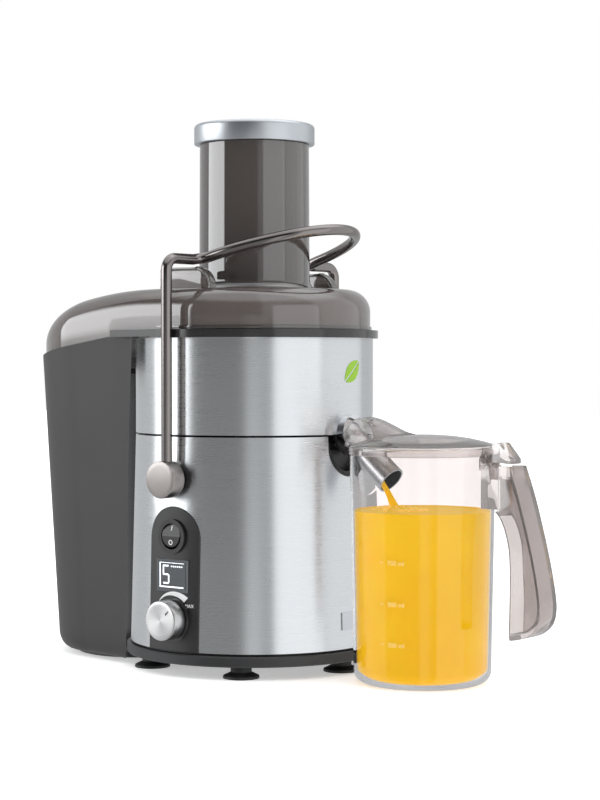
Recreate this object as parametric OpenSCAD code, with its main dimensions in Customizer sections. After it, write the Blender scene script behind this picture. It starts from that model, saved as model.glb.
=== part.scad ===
// Centrifugal juicer: motor base, juice bowl with basket, lid with feed chute and pusher,
// swinging lock arm, pulp bin and juice jug.
// Origin: the body's axis on the table. +Z up, controls face -Y, spout and jug on +X, bin on -X.

/* [Base] */
// Radius of the steel base just above the skirt
base_bottom_r = 95; // [85:0.5:105]
// Radius of the steel base at the seam under the bowl
base_top_r = 91; // [85:0.5:100]
// Height where the steel base starts
base_z = 19; // [15:0.5:25]
// Height of the seam between base and bowl
seam_z = 176; // [165:0.5:190]
// Sheet thickness of the steel shells
steel = 1; // [0.6:0.1:1.5]
// Height of the suction feet
foot_h = 9.6; // [8:0.1:14]

/* [Bowl] */
// Height of the top of the steel band round the bowl
band_top_z = 249; // [240:0.5:260]
// Height of the top of the bowl's collar
collar_z = 255; // [250:0.5:265]
// Outer radius of the collar
collar_r = 95; // [92:0.5:97]

/* [Lid and chute] */
// Outer radius of the lid over the bowl
lid_r = 89; // [84:0.5:92]
// Height of the lid's flat top
lid_top_z = 286; // [280:0.5:295]
// Outer radius of the feed chute
chute_r = 42.5; // [38:0.5:46]
// Height of the chute's mouth
chute_top_z = 397; // [380:1:410]
// Radius of the pusher's cap
cap_r = 46.2; // [44:0.2:50]
// Overall height
top_z = 415; // [405:1:425]

/* [Lock arm] */
// Distance from the body's middle plane to each upright rod
arm_y = 100; // [99:0.5:106]
// Diameter of the arm's rod
rod_d = 8; // [6:0.5:10]
// Height of the arm's pivots
pivot_z = 145; // [130:1:160]
// Height of the arm's top bars
bar_z = 307; // [300:1:315]

/* [Pulp bin] */
// Distance from the body's axis to the centre of the bin's round end
bin_x = 115; // [105:1:125]
// Radius of the bin's round end at its rim
bin_r = 83; // [78:0.5:88]
// Height of the rim at the bin's outer end
bin_rim_z = 231; // [220:1:240]

/* [Jug] */
// Distance from the body's axis to the jug's axis
jug_x = 158; // [152:1:165]
// Outer radius of the jug at its rim
jug_r = 52.7; // [48:0.5:56]
// Height of the jug's rim
jug_h = 169; // [160:1:180]
// Height of the jug's lid rim above the rim of the jug
jug_lid_step = 3.3; // [2:0.1:5]

/* [Hidden] */
$fn = 72;
gap = 0.3;
eps = 0.01;
band_z = seam_z + 1.5;
wall = 2.5;
deck_z = 166;
chute_bore_r = chute_r - 2.5;
lip = 2.4;
lip_z = 251;
wing_gap = 0.9;
panel_half = 24;
panel_top_z = 101;
switch_z = 103;
display_z = 74;
dial_z = 42;
dial_r = 14.7;
dial_h = 11.4;
dial_ring_r = 17.2;
gland_z = 30;
notch_half = 21.5;
notch_z = 146;
front_y = base_top_r + (base_bottom_r - base_top_r) * 0.6;
spout_r = 10.75;
spout_tilt = 39;
spout_x = 130;
spout_z = 144.5;
foot_angles = [33, 93, 150];
motor_r = 42;
body_clear_r = 99.2;
disc_y = arm_y + rod_d / 2 + 4;
arm_bend = 9;
loop_x = 85;
loop_y = 62;
loop_rise = 22;
rocker_y = -front_y + 4.5;
jug_clear = 2.4;
hinge_x = 215.5;
hinge_z = 162;
bowl_r = base_top_r - steel - 0.1;

// ---------- shared shapes ----------

// Radius of the tapered base at a height
function base_r(z) = base_bottom_r - (base_bottom_r - base_top_r) * (z - base_z) / (seam_z - base_z);

// A ring or tube about Z
module tube(r_out, r_in, z0, z1) {
    translate([0, 0, z0])
        difference() {
            cylinder(r = r_out, h = z1 - z0);
            translate([0, 0, -1]) cylinder(r = r_in, h = z1 - z0 + 2);
        }
}

// A round bar along Y
module bar_y(r, y0, y1) {
    translate([0, y0, 0]) rotate([-90, 0, 0]) cylinder(r = r, h = y1 - y0);
}

// Copies its child to both sides of the XZ plane
module both_sides() {
    children();
    mirror([0, 1, 0]) children();
}

// The panel's outline seen from the front: a slot shape rounded at the top
module panel_outline(half, z0, z_arc) {
    translate([-half, z0]) square([2 * half, z_arc - z0]);
    translate([0, z_arc]) circle(r = half);
}

// A prism with the panel's outline that cuts through the front wall only
module panel_prism(half, z0, z_arc) {
    rotate([90, 0, 0]) linear_extrude(height = 110) panel_outline(half, z0, z_arc);
}

// The notch under the spout, as a prism along +X
module notch_prism(half, z_low, x0, x1) {
    translate([x0, 0, 0])
        rotate([90, 0, 90])
            linear_extrude(height = x1 - x0) {
                translate([0, z_low + half]) circle(r = half);
                translate([-half, z_low + half]) square([2 * half, 60]);
            }
}

// A tapered ring that follows the base's slope
module base_ring(out, in, z0, z1) {
    rotate_extrude()
        polygon([[base_r(z0) - in, z0], [base_r(z0) + out, z0],
                 [base_r(z1) + out, z1], [base_r(z1) - in, z1]]);
}

// The spout's tilted axis, with +Z pointing out of its end
module on_spout() {
    translate([spout_x, 0, spout_z]) rotate([0, 90 + spout_tilt, 0]) children();
}

// ---------- base ----------

module base_shell() {
    color([0.72, 0.74, 0.76])
        difference() {
            base_ring(0, steel, base_z, seam_z);
            panel_prism(panel_half, 0, panel_top_z);
            notch_prism(notch_half, notch_z, 60, 110);
            translate([0, 0, pivot_z]) bar_y(8, -110, 110);
            translate([0, 0, gland_z]) bar_y(7.05, 80, 110);
        }
}

module base_frame() {
    color([0.12, 0.12, 0.13])
        difference() {
            union() {
                base_ring(-steel - 0.1, steel + 2.6, base_z, deck_z + 6);
                tube(base_r(deck_z) - steel - 0.2, 18, deck_z - 3, deck_z);
                tube(30, 18, deck_z - 3, deck_z + 5);
            }
            panel_prism(panel_half - 3, 22, panel_top_z);
            notch_prism(notch_half - 2, notch_z + 2, 78.6, 110);
            translate([0, 0, pivot_z]) bar_y(8, -110, 110);
            translate([0, 0, gland_z]) bar_y(7.05, 80, 110);
        }
}

module base_skirt() {
    color([0.1, 0.1, 0.11])
        rotate_extrude()
            polygon([[88, foot_h], [97, foot_h], [98, foot_h + 1], [98, foot_h + 7], [97.2, foot_h + 7.9],
                     [92.5, foot_h + 7.9], [92.5, base_z], [88, base_z]]);
}

module bottom_plate() {
    color([0.1, 0.1, 0.11])
        difference() {
            translate([0, 0, foot_h + 0.4]) cylinder(r = 87.8, h = 3);
            for (k = [0:11])
                rotate([0, 0, 30 * k]) translate([28, -2, 0]) cube([26, 4, 30]);
            for (a = [for (f = foot_angles) each [f, -f]])
                rotate([0, 0, a - 90]) translate([81, 0, 0]) cylinder(r = 3, h = 30);
        }
}

module suction_feet() {
    color([0.06, 0.06, 0.06])
        for (a = [for (f = foot_angles) each [f, -f]])
            rotate([0, 0, a - 90])
                translate([81, 0, 0])
                    rotate_extrude()
                        polygon([[0, 1.2], [8, 0.8], [11.6, 0], [13.2, 0], [13.5, 0.5], [13.2, 2],
                                 [9, 4], [7.8, 4.6], [7.8, foot_h + 0.3], [2.9, foot_h + 0.3],
                                 [2.9, foot_h + 4.4], [0, foot_h + 4.4]]);
}

module bottom_screws() {
    color([0.6, 0.6, 0.62])
        for (k = [0:3])
            rotate([0, 0, 45 + 90 * k])
                translate([66, 0, foot_h + 0.4 - 1])
                    difference() {
                        cylinder(r = 3.4, h = 1);
                        translate([-2.4, -0.5, -1]) cube([4.8, 1, 1.5]);
                    }
}

module notch_liner() {
    color([0.05, 0.05, 0.05])
        difference() {
            intersection() {
                base_ring(-steel - 0.2, 16, 140, deck_z);
                notch_prism(notch_half - 2.2, notch_z + 2.2, 78.8, 110);
            }
            notch_prism(notch_half - 4, notch_z + 4, 84, 110);
        }
}

module control_panel() {
    color([0.06, 0.06, 0.07])
        difference() {
            intersection() {
                base_ring(1, 1.05, base_z + 0.2, panel_top_z + panel_half);
                panel_prism(panel_half - 0.2, base_z + 0.2, panel_top_z);
            }
            translate([0, 0, switch_z]) bar_y(11.2, -110, 0);
            translate([-15.5, -110, display_z - 12]) cube([31, 110, 24]);
            translate([0, 0, dial_z]) bar_y(6, -110, 0);
            translate([0, 0, dial_z]) bar_y(dial_ring_r + 0.05, -110, -front_y - 0.8);
        }
}

module display_window() {
    color([0.03, 0.03, 0.04])
        translate([-15.4, -front_y - 0.7, display_z - 11.9]) cube([30.8, 1.4, 23.8]);
}

module display_module() {
    color([0.85, 0.88, 0.9])
        translate([-14, -front_y + 1.1, display_z - 10.5]) cube([28, 5, 21]);
}

module switch_bezel() {
    color([0.15, 0.15, 0.16])
        translate([0, 0, switch_z])
            difference() {
                union() {
                    bar_y(12.8, -front_y - 2.2, -front_y - 0.9);
                    bar_y(11, -front_y - 1, -front_y + 12);
                }
                bar_y(9.6, -front_y - 3, -front_y + 9);
            }
}

module switch_rocker() {
    color([0.05, 0.05, 0.05])
        translate([0, rocker_y, switch_z])
            rotate([-8, 0, 0])
                intersection() {
                    bar_y(8.6, -8.5, 0);
                    union() {
                        rotate([8, 0, 0]) translate([-10, -7, -12]) cube([20, 9, 12]);
                        rotate([-8, 0, 0]) translate([-10, -7, 0]) cube([20, 9, 12]);
                        translate([-10, -6.6, -1.5]) cube([20, 8.6, 3]);
                    }
                }
}

module dial_ring() {
    color([0.1, 0.1, 0.11])
        translate([0, 0, dial_z])
            difference() {
                bar_y(dial_ring_r, -front_y - 2.4, -front_y - 0.8);
                bar_y(4, -front_y - 5, -front_y + 5);
            }
}

module dial_knob() {
    color([0.78, 0.78, 0.8])
        translate([0, -front_y - 2.7, dial_z])
            rotate([90, 0, 0])
                difference() {
                    rotate_extrude()
                        polygon([[0, 0], [dial_r - 0.6, 0], [dial_r, 0.6], [dial_r - 0.2, dial_h - 1.4],
                                 [dial_r - 1, dial_h - 0.3], [dial_r - 2, dial_h], [0, dial_h]]);
                    translate([0, 0, -1]) cylinder(r = 3, h = 9);
                    rotate([0, 0, -47]) translate([0, 9.2, dial_h + 1.4]) sphere(r = 2.4, $fn = 24);
                }
}

module dial_shaft() {
    color([0.7, 0.7, 0.72])
        translate([0, 0, dial_z]) bar_y(3, -front_y - 10.6, -front_y + 6.7);
}

module speed_control() {
    color([0.35, 0.37, 0.4])
        translate([0, 0, dial_z]) bar_y(9, -front_y + 7, -front_y + 15);
}

module control_board() {
    color([0.1, 0.35, 0.2])
        translate([-20, -front_y + 15.1, base_z + 9]) cube([40, 1.6, 84]);
}

// ---------- motor ----------

module motor_stator() {
    color([0.5, 0.5, 0.52])
        difference() {
            intersection() {
                translate([0, 0, 62]) cylinder(r = motor_r, h = 44);
                translate([-37, -37, 60]) cube([74, 74, 50]);
            }
            translate([0, 0, 50]) cylinder(r = 24, h = 70);
        }
}

module stator_windings() {
    color([0.7, 0.38, 0.18])
        for (z = [48, 106.2])
            difference() {
                translate([0, 0, z]) cylinder(r = 35, h = 13.8);
                translate([0, 0, z - 1]) cylinder(r = 26, h = 16);
            }
}

module motor_brackets() {
    color([0.62, 0.63, 0.65]) {
        difference() {
            union() {
                tube(18, 11.1, 126, 134);
                for (a = [45, 135])
                    rotate([0, 0, a])
                        difference() {
                            translate([-58, -8, 126]) cube([116, 16, 4]);
                            translate([0, 0, 120]) cylinder(r = 17.9, h = 20);
                        }
            }
            for (a = [45, 135, 225, 315])
                rotate([0, 0, a]) translate([52, 0, 120]) cylinder(r = 2.2, h = 20);
        }
        difference() {
            union() {
                tube(18, 8.1, 34, 41);
                for (a = [45, 135])
                    rotate([0, 0, a])
                        difference() {
                            translate([-58, -8, 37]) cube([116, 16, 4]);
                            translate([0, 0, 30]) cylinder(r = 17.9, h = 20);
                        }
            }
            for (a = [45, 135, 225, 315])
                rotate([0, 0, a]) translate([52, 0, 20]) cylinder(r = 2.2, h = 40);
        }
        for (a = [45, 135, 225, 315])
            rotate([0, 0, a]) translate([45, 0, 41]) cylinder(r = 2.8, h = 85);
    }
}

module motor_screws() {
    color([0.6, 0.6, 0.62])
        for (a = [45, 135, 225, 315])
            rotate([0, 0, a])
                translate([52, 0, 0]) {
                    translate([0, 0, 26]) cylinder(r = 2.1, h = 16);
                    translate([0, 0, 41]) cylinder(r = 4, h = 3);
                    translate([0, 0, 122]) cylinder(r = 2.1, h = 9);
                    translate([0, 0, 130]) cylinder(r = 4, h = 3);
                }
}

module motor_mounts() {
    color([0.08, 0.08, 0.08])
        for (a = [45, 135, 225, 315])
            rotate([0, 0, a])
                translate([52, 0, 0])
                    tube(7, 2.2, foot_h + 3.5, 36.9);
}

module carbon_brushes() {
    color([0.2, 0.2, 0.2])
        both_sides()
            translate([-4, 12.9, 116]) cube([8, 12.5, 8]);
}

module motor_shaft() {
    color([0.75, 0.75, 0.77])
        translate([0, 0, 30]) cylinder(r = 5, h = 150);
}

module armature() {
    color([0.45, 0.42, 0.4])
        tube(23.4, 5, 62, 106);
}

module commutator() {
    color([0.75, 0.45, 0.25])
        tube(12.6, 5, 114, 125);
}

module cooling_fan() {
    color([0.85, 0.85, 0.82]) {
        tube(12, 5, 43, 47.5);
        tube(24, 11.9, 43, 44.5);
        for (k = [0:8])
            rotate([0, 0, 40 * k]) translate([11.8, -0.6, 44.4]) cube([12, 1.2, 3.1]);
    }
}

module shaft_bearings() {
    color([0.7, 0.71, 0.73]) {
        tube(11, 5.05, 126, 134);
        tube(8, 5.05, 34, 41);
    }
}

module drive_coupling() {
    color([0.15, 0.15, 0.16])
        difference() {
            union() {
                translate([0, 0, 173]) cylinder(r = 15, h = 4);
                for (k = [0:5])
                    rotate([0, 0, 60 * k]) translate([7.5, -2, 177 - eps]) cube([6, 4, 9]);
                translate([0, 0, 176]) cylinder(r = 9, h = 12);
            }
            translate([0, 0, 170]) cylinder(r = 5, h = 10);
        }
}

module shaft_seal() {
    color([0.08, 0.08, 0.08])
        tube(17.9, 5.6, deck_z - 2, deck_z + 4);
}

module cord_gland() {
    color([0.05, 0.05, 0.05])
        translate([0, 0, gland_z])
            difference() {
                union() {
                    bar_y(7, 88, 98);
                    bar_y(9, 96, 99);
                }
                bar_y(3.4, 80, 110);
            }
}

module interlock_switch() {
    color([0.15, 0.15, 0.17])
        both_sides()
            translate([-14, 66, pivot_z - 26]) cube([28, 10, 16]);
}

module pivot_bushes() {
    color([0.1, 0.1, 0.1])
        both_sides()
            translate([0, 0, pivot_z])
                difference() {
                    union() {
                        bar_y(7.9, 84, 93);
                        bar_y(11, 93, 95.4);
                    }
                    bar_y(5.05, 70, 110);
                }
}

// ---------- lock arm ----------

// One side of the rod: up from the pivot, over the top bar and round to the loop's start
function arm_side(side) = [
    [0, side * arm_y, pivot_z],
    [0, side * arm_y, bar_z - arm_bend],
    for (a = [15:15:90])
        [0, side * (arm_y - arm_bend + arm_bend * cos(a)), bar_z - arm_bend + arm_bend * sin(a)],
    for (a = [0:22.5:67.5])
        [arm_bend * (1 - cos(a)), side * (loop_y + arm_bend * (1 - sin(a))), bar_z + 2 * a / 90]];

// The loop round the chute: half an oval that rises towards +X
function arm_loop() = [for (u = [6:8:174]) [loop_x * sin(u), -loop_y * cos(u), bar_z + loop_rise * sin(u)]];

function reversed(list) = [for (i = [len(list) - 1:-1:0]) list[i]];
function unit(v) = v / norm(v);
function heading(path, i) = unit(path[min(i + 1, len(path) - 1)] - path[max(i - 1, 0)]);

// Carries a sideways direction along the path without twisting it
function carried(path, i) =
    i == 0 ? [1, 0, 0]
           : let (t = heading(path, i), v = carried(path, i - 1)) unit(v - (v * t) * t);

// A round rod along a list of points
module rod_along(path, r, sides) {
    rings = [for (i = [0:len(path) - 1])
                 let (a = carried(path, i), b = cross(heading(path, i), a))
                     for (k = [0:sides - 1])
                         path[i] + r * (a * cos(360 * k / sides) + b * sin(360 * k / sides))];
    last = (len(path) - 1) * sides;
    polyhedron(rings, concat(
        [[for (k = [0:sides - 1]) k]],
        [[for (k = [sides - 1:-1:0]) last + k]],
        [for (i = [0:len(path) - 2])
             for (k = [0:sides - 1])
                 let (j = (k + 1) % sides)
                     each [[i * sides + k, (i + 1) * sides + k, (i + 1) * sides + j],
                           [i * sides + k, (i + 1) * sides + j, i * sides + j]]]));
}

module lock_arm() {
    color([0.3, 0.29, 0.28])
        rod_along(concat(arm_side(-1), arm_loop(), reversed(arm_side(1))), rod_d / 2, 20);
}

module pivot_discs() {
    color([0.3, 0.29, 0.28])
        both_sides()
            translate([0, 0, pivot_z])
                difference() {
                    bar_y(13.65, 95.8, disc_y);
                    bar_y(9.5, disc_y - 0.6, disc_y + 1);
                    translate([0, arm_y, 0]) cylinder(r = rod_d / 2 + 0.01, h = 20);
                }
}

module pivot_pins() {
    color([0.7, 0.7, 0.72])
        both_sides()
            translate([0, 0, pivot_z]) bar_y(5, 78, 95.8);
}

module interlock_cams() {
    color([0.85, 0.85, 0.82])
        both_sides()
            translate([0, 0, pivot_z]) {
                bar_y(8, 72, 78);
                translate([-3, 72, -9.5]) cube([6, 6, 6]);
            }
}

// ---------- bowl ----------

module bowl_body() {
    color([0.13, 0.13, 0.14])
        difference() {
            rotate_extrude()
                polygon([[15, 177.8], [17.4, 177.8], [17.4, 191.2], [22.8, 185], [61.5, 179.6], [86, 179.6],
                         [88.4, 178], [bowl_r, 178], [bowl_r, band_top_z], [87, band_top_z], [87, 186],
                         [84, 182.6], [62, 182], [24, 187.2], [17.4, 194], [15, 194]]);
            on_spout() translate([0, 0, -80]) cylinder(r = spout_r - 1.3, h = 80);
        }
    bowl_outlet();
}

// The boss round the outlet, inside the bowl's outer wall
module bowl_outlet() {
    color([0.13, 0.13, 0.14])
        difference() {
            intersection() {
                on_spout() translate([0, 0, -80]) cylinder(r = spout_r + 1.5, h = 80);
                tube(bowl_r - 0.05, 86.9, 160, 200);
            }
            on_spout() translate([0, 0, -81]) cylinder(r = spout_r - 1.3, h = 82);
            cylinder_at(100, 178.3, 210);
        }
}

module bowl_band() {
    color([0.72, 0.74, 0.76])
        difference() {
            tube(base_top_r, base_top_r - steel, band_z, band_top_z);
            on_spout() translate([0, 0, -60]) cylinder(r = spout_r + 0.05, h = 60);
        }
}

module bowl_collar() {
    color([0.08, 0.08, 0.09])
        difference() {
            union() {
                cylinder_at(collar_r, band_top_z, collar_z);
                both_sides()
                    translate([0, 0, band_top_z + wing_gap])
                        linear_extrude(height = collar_z - band_top_z - wing_gap)
                            polygon([[0, collar_r], [-68, collar_r - 5.9], [-64, 50], [0, 50]]);
            }
            translate([0, 0, band_top_z - 1]) cylinder(r = 86.5, h = 20);
        }
}

module cylinder_at(r, z0, z1) {
    translate([0, 0, z0]) cylinder(r = r, h = z1 - z0);
}

module spout_ring() {
    color([0.8, 0.8, 0.82])
        difference() {
            translate([base_top_r - 2, 0, 179]) rotate([0, 90, 0]) cylinder(r = 13, h = 7);
            translate([0, 0, 150]) cylinder(r = base_top_r + 0.05, h = 60);
            on_spout() translate([0, 0, -70]) cylinder(r = spout_r + 0.05, h = 80);
        }
}

module spout_tube() {
    color([0.75, 0.76, 0.78])
        difference() {
            on_spout() translate([0, 0, -70]) cylinder(r = spout_r, h = 70);
            on_spout() translate([0, 0, -71]) cylinder(r = spout_r - 1.3, h = 72);
            cylinder_at(bowl_r + 0.05, 100, 260);
        }
}

// ---------- basket ----------

module basket_mesh() {
    color([0.75, 0.76, 0.78])
        rotate_extrude()
            polygon([[50, 200], [79, 245], [78.2, 245], [49.2, 200]]);
}

module basket_rim() {
    color([0.75, 0.76, 0.78])
        rotate_extrude()
            polygon([[77.8, 245], [81.5, 245], [81.5, 249.5], [76.5, 249.5], [76.5, 247]]);
}

module basket_hub() {
    color([0.16, 0.16, 0.17])
        difference() {
            union() {
                cylinder_at(50.6, 196.5, 200);
                cylinder_at(19, 194.5, 198);
                cylinder_at(14.4, 177.4, 196);
            }
            cylinder_at(9.3, 170, 188.4);
            for (k = [0:5])
                rotate([0, 0, 60 * k]) translate([7, -2.3, 170]) cube([6.8, 4.6, 16.6]);
        }
}

module grating_disc() {
    color([0.78, 0.79, 0.8]) {
        cylinder_at(48.6, 200, 201.2);
        for (ring = [0:3])
            for (k = [0:11])
                rotate([0, 0, 30 * k + 7 * ring])
                    translate([15 + 9 * ring, 0, 201])
                        rotate([0, 0, 20]) cube([3.4, 0.8, 1.6]);
    }
}

// ---------- lid ----------

// The lid's solid form, inset by a wall: a rounded disc drawn out to a lower round end
module lid_form(inset, z_low) {
    hull() {
        rotate_extrude($fn = 96)
            polygon([[0, z_low], [lid_r + 0.6 - inset, z_low], [lid_r - inset, 266],
                     for (a = [0:15:90])
                         [lid_r - 17 - inset + 17 * cos(a), lid_top_z - inset - 17 + 17 * sin(a)],
                     [0, lid_top_z - inset]]);
        translate([-bin_x, 0, 0])
            rotate_extrude($fn = 96)
                polygon([[0, z_low], [79 - inset, z_low],
                         for (a = [0:10:90])
                             [(79 - inset) * pow(cos(a), 0.75), max(z_low, 246 + (31 - inset) * pow(sin(a), 0.9))],
                         [0, 277 - inset]]);
    }
}

module lid_cover() {
    color([0.35, 0.32, 0.3, 0.6])
        difference() {
            union() {
                lid_form(0, lip_z);
                lid_form(lip, 225);
            }
            lid_form(wall, lip_z + 2);
            lid_form(wall + lip, 220);
            lid_underside();
            cylinder_at(chute_r + 0.02, 200, 300);
        }
}

// Everything the lid must clear: the bowl, its collar's wings and the space over the bin's inner wall
module lid_underside() {
    cylinder_at(99.6, 200, collar_z + gap);
    translate([-74, -120, 200]) cube([240, 240, collar_z + gap - 200]);
}

module lid_lugs() {
    color([0.35, 0.32, 0.3, 0.6])
        both_sides()
            translate([0, 73, 0])
                rotate([90, 0, 0])
                    linear_extrude(height = 7, center = true)
                        union() {
                            translate([-27, lid_top_z]) square([33, 15]);
                            translate([6, lid_top_z]) intersection() {
                                circle(r = 15);
                                square(20);
                            }
                        }
}

module feed_chute() {
    color([0.35, 0.32, 0.3, 0.6])
        rotate_extrude()
            polygon([[chute_bore_r, 212], [chute_r - 0.4, 212], [chute_r, 280], [chute_r, lid_top_z + 1],
                     [chute_r - 0.6, chute_top_z], [chute_bore_r, chute_top_z]]);
}

module pusher_body() {
    color([0.12, 0.11, 0.11])
        difference() {
            cylinder_at(chute_bore_r - 0.6, 292, chute_top_z + 4);
            cylinder_at(chute_bore_r - 3, 295, chute_top_z + 10);
        }
}

module pusher_cap() {
    color([0.7, 0.71, 0.73])
        difference() {
            rotate_extrude()
                polygon([[0, chute_top_z + gap], [cap_r - 0.8, chute_top_z + gap], [cap_r, chute_top_z + 1.2],
                         [cap_r, top_z - 5], [cap_r - 0.8, top_z - 3.2], [cap_r - 3, top_z - 2],
                         [cap_r - 8, top_z - 1.2], [cap_r - 20, top_z - 0.2], [0, top_z]]);
            cylinder_at(chute_bore_r - 0.58, chute_top_z - 5, chute_top_z + 4);
        }
}

// ---------- bin ----------

// The bin's solid form, inset by a wall
module bin_form(inset, floor_z) {
    hull()
        for (row = [[floor_z, 23], [floor_z + 5, 17], [floor_z + 14, 14], [262, 0]]) {
            r = bin_r - inset - row[1];
            for (end = [[-bin_x, 0], [-40, 5.5]])
                translate([end[0], 0, row[0]]) cylinder(r = r + end[1], h = 0.1, $fn = 72);
        }
}

// The rim's outline seen from the front
module bin_side_cut() {
    rotate([90, 0, 0])
        linear_extrude(height = 260, center = true)
            difference() {
                translate([-240, 180]) square([240, 100]);
                polygon([[-240, 170], [-240, bin_rim_z - 7], [-198, bin_rim_z], [-80, 250],
                         for (a = [90:-15:0]) [-59 + 14 * cos(a), 234.6 + 14 * sin(a)], [-45, 170]]);
            }
}

module pulp_bin() {
    color([0.16, 0.16, 0.17])
        difference() {
            union() {
                difference() {
                    bin_form(0, 3);
                    bin_form(2.4, 5.4);
                }
                intersection() {
                    bin_form(0, 3);
                    tube(body_clear_r + 2.4, body_clear_r, 3, 222);
                }
                translate([-bin_x, 0, 0]) tube(54, 40, 0, 3.2);
            }
            cylinder_at(body_clear_r, -10, 300);
            translate([-45.2, -120, -10]) cube([200, 240, 320]);
            bin_side_cut();
        }
}

// ---------- jug ----------

module jug_body() {
    color([0.6, 0.57, 0.55, 0.35])
        translate([jug_x, 0, 0])
            difference() {
                rotate_extrude()
                    polygon([[0, 0.6], [36, 0.6], [37, 0], [40.5, 0], [44, 1.2], [47.6, 4.2],
                             [49.2, 8], [49.7, 12],
                             [jug_r - 0.6, jug_h - 14], [jug_r, jug_h], [jug_r - jug_clear, jug_h],
                             [jug_r - 0.6 - jug_clear, jug_h - 14], [47.3, 12], [46.6, 8.5], [45, 5.8],
                             [42, 3.8], [38, 3], [0, 3]]);
                translate([-80, 0, 0])
                    rotate([90, 0, 90])
                        linear_extrude(height = 50) {
                            translate([0, 148]) circle(r = 15);
                            translate([-15, 148]) square([30, 60]);
                        }
            }
}

// The handle's outline seen from the side
module handle_outline() {
    polygon([[232, 158], [239, 158], [246.5, 138], [254, 112], [259.5, 90], [263, 72], [264, 60], [261, 50],
             [254, 43], [245, 39], [239, 38], [238.4, 100], [236, 110], [232, 121], [226, 128], [212, 128],
             [212, 158]]);
}

module jug_handle() {
    color([0.6, 0.57, 0.55, 0.5])
        difference() {
            union() {
                rotate([90, 0, 0]) linear_extrude(height = 22, center = true) handle_outline();
                translate([209, -7, 128]) cube([22, 14, 29]);
                translate([hinge_x - 5.5, -7, 156]) cube([10, 14, 5]);
                translate([hinge_x, 0, hinge_z]) bar_y(4.2, -7, 7);
            }
            rotate([90, 0, 0]) linear_extrude(height = 17, center = true) handle_hollow();
            translate([jug_x, 0, 0]) cylinder(r1 = jug_r - 2.6, r2 = jug_r + 0.02, h = jug_h);
            translate([jug_x, 0, jug_h]) cylinder(r = jug_r + 0.02, h = 10);
            translate([hinge_x - 12, -4.3, hinge_z - 5]) cube([40, 8.6, 20]);
            translate([221, -7.5, 149]) cube([17, 15, 20]);
            translate([hinge_x, 0, hinge_z]) bar_y(2, -20, 20);
        }
}

// The space inside the channel, open towards the jug
module handle_hollow() {
    polygon([[224, 122], [231, 122], [231, 150], [238, 150], [243, 136], [250.8, 111], [256.2, 90],
             [259.8, 72], [260.8, 60], [258.4, 52.4], [252, 46.6], [244, 42.4], [224, 42.4]]);
}

module jug_hinge_pin() {
    color([0.6, 0.57, 0.55, 0.6])
        translate([hinge_x, 0, hinge_z]) bar_y(2, -7.4, 7.4);
}

module jug_lid() {
    color([0.6, 0.57, 0.55, 0.5]) {
        difference() {
            union() {
                translate([jug_x, 0, 0]) jug_lid_disc();
                translate([101.6, 0, jug_h + gap]) rotate([90, 0, 90]) linear_extrude(height = 48) arch(19);
            }
            translate([100, 0, jug_h - 2]) rotate([90, 0, 90]) linear_extrude(height = 46) arch(16.8);
            translate([0, 0, jug_h + gap]) rotate([90, 0, 0]) linear_extrude(height = 60, center = true)
                polygon([[100, 21.5], [116, 22], [150, 6], [150, 40], [100, 40]]);
        }
        difference() {
            union() {
                translate([211, -4, 166.2]) cube([14, 8, 5]);
                translate([hinge_x - 4, -4, hinge_z]) cube([8, 8, 6]);
                translate([hinge_x, 0, hinge_z]) bar_y(4, -4, 4);
                rotate([90, 0, 0]) linear_extrude(height = 14, center = true)
                    polygon([[222.5, 161], [237.2, 160], [237.2, 163.5], [228, 174.5], [222.5, 174.5]]);
            }
            translate([jug_x, 0, 150]) cylinder(r = 54, h = 50);
            translate([hinge_x, 0, hinge_z]) bar_y(2.06, -20, 20);
        }
    }
}

// The jug lid's domed disc with its hanging rim band
module jug_lid_disc() {
    lid_z = jug_h + jug_lid_step;
    rotate_extrude()
        polygon([[0, lid_z + 6], [18, lid_z + 5.4], [34, lid_z + 3.6], [46, lid_z + 1], [53.6, lid_z - 1],
                 [54, lid_z - 2], [54, jug_h + gap], [52, jug_h + gap], [51.4, lid_z - 1.8],
                 [45, lid_z - 1], [34, lid_z + 1.4], [18, lid_z + 3.2], [0, lid_z + 3.8]]);
}

// A round-topped arch with straight sides
module arch(half) {
    intersection() {
        translate([0, 2]) circle(r = half);
        translate([-40, 0]) square(80);
    }
}

module badge_plate() {
    color([0.8, 0.81, 0.83])
        intersection() {
            base_ring(0.8, -0.02, 33, 46);
            translate([80, -12, 30]) cube([30, 24, 20]);
        }
}

base_shell();
base_frame();
base_skirt();
bottom_plate();
suction_feet();
bottom_screws();
notch_liner();
control_panel();
display_window();
display_module();
switch_bezel();
switch_rocker();
dial_ring();
dial_knob();
dial_shaft();
speed_control();
control_board();
motor_stator();
stator_windings();
motor_brackets();
motor_screws();
motor_mounts();
carbon_brushes();
motor_shaft();
armature();
commutator();
cooling_fan();
shaft_bearings();
drive_coupling();
shaft_seal();
cord_gland();
interlock_switch();
pivot_bushes();
lock_arm();
pivot_discs();
pivot_pins();
interlock_cams();
bowl_body();
bowl_band();
bowl_collar();
spout_ring();
spout_tube();
basket_mesh();
basket_rim();
basket_hub();
grating_disc();
lid_cover();
lid_lugs();
feed_chute();
pusher_body();
pusher_cap();
pulp_bin();
jug_body();
jug_handle();
jug_lid();
jug_hinge_pin();
badge_plate();
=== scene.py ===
import math

import bmesh
import bpy
from mathutils import Matrix, Vector


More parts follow.
